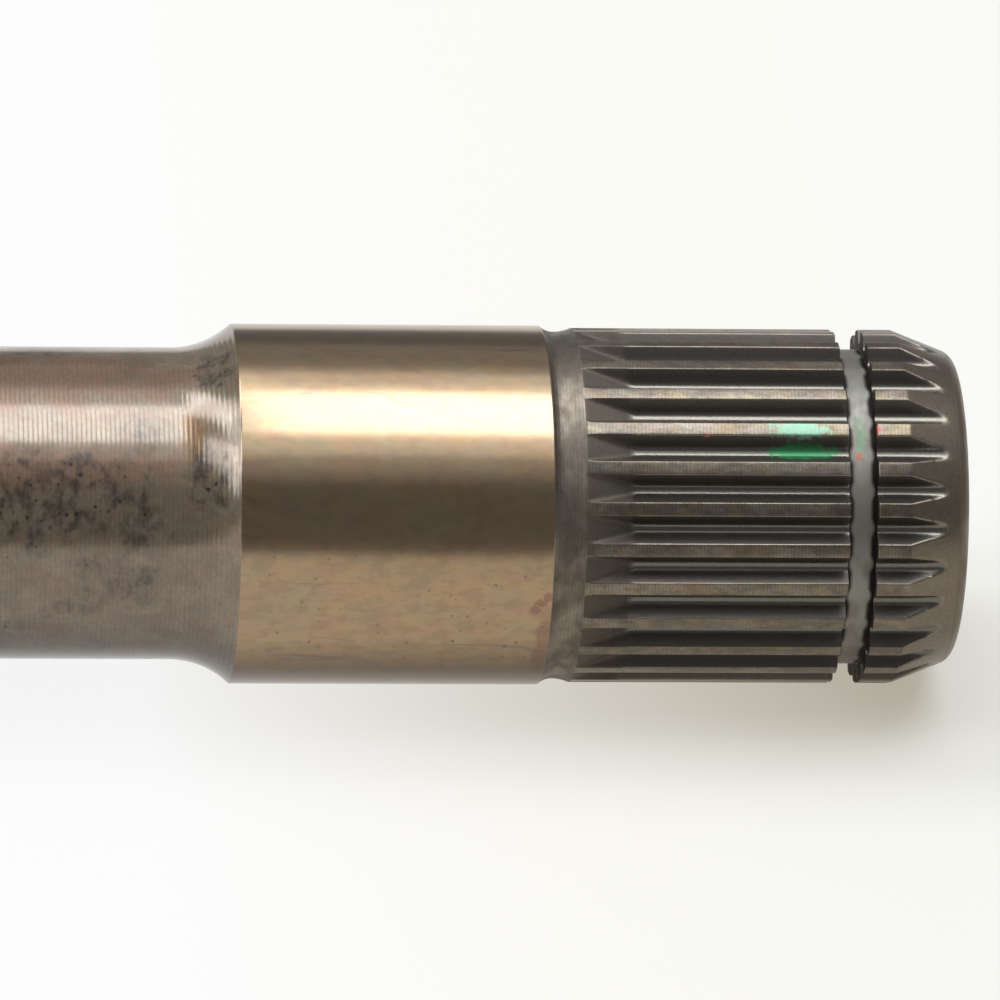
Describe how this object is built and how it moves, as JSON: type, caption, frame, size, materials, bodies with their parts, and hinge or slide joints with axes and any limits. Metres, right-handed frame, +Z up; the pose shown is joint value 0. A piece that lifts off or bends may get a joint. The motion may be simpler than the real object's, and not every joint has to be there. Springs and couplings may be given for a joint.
{
  "type": "drive shaft",
  "caption": "Turned steel drive shaft with a plain shank, a ground bearing journal, an undercut neck and an involute spline with a retaining-ring groove and a rounded nose.",
  "frame": {"origin": "on the shaft's axis, at the middle of the ground journal", "axes": "+X along the shaft's axis towards the splined nose, +Z up as the shaft lies in the picture"},
  "size_m": [0.254, 0.03, 0.03],
  "materials": {
    "steel": "turned and ground steel, oiled and stained"
  },
  "bodies": {
    "root": {"drive_shaft": "steel"}
  },
  "joints": []
}
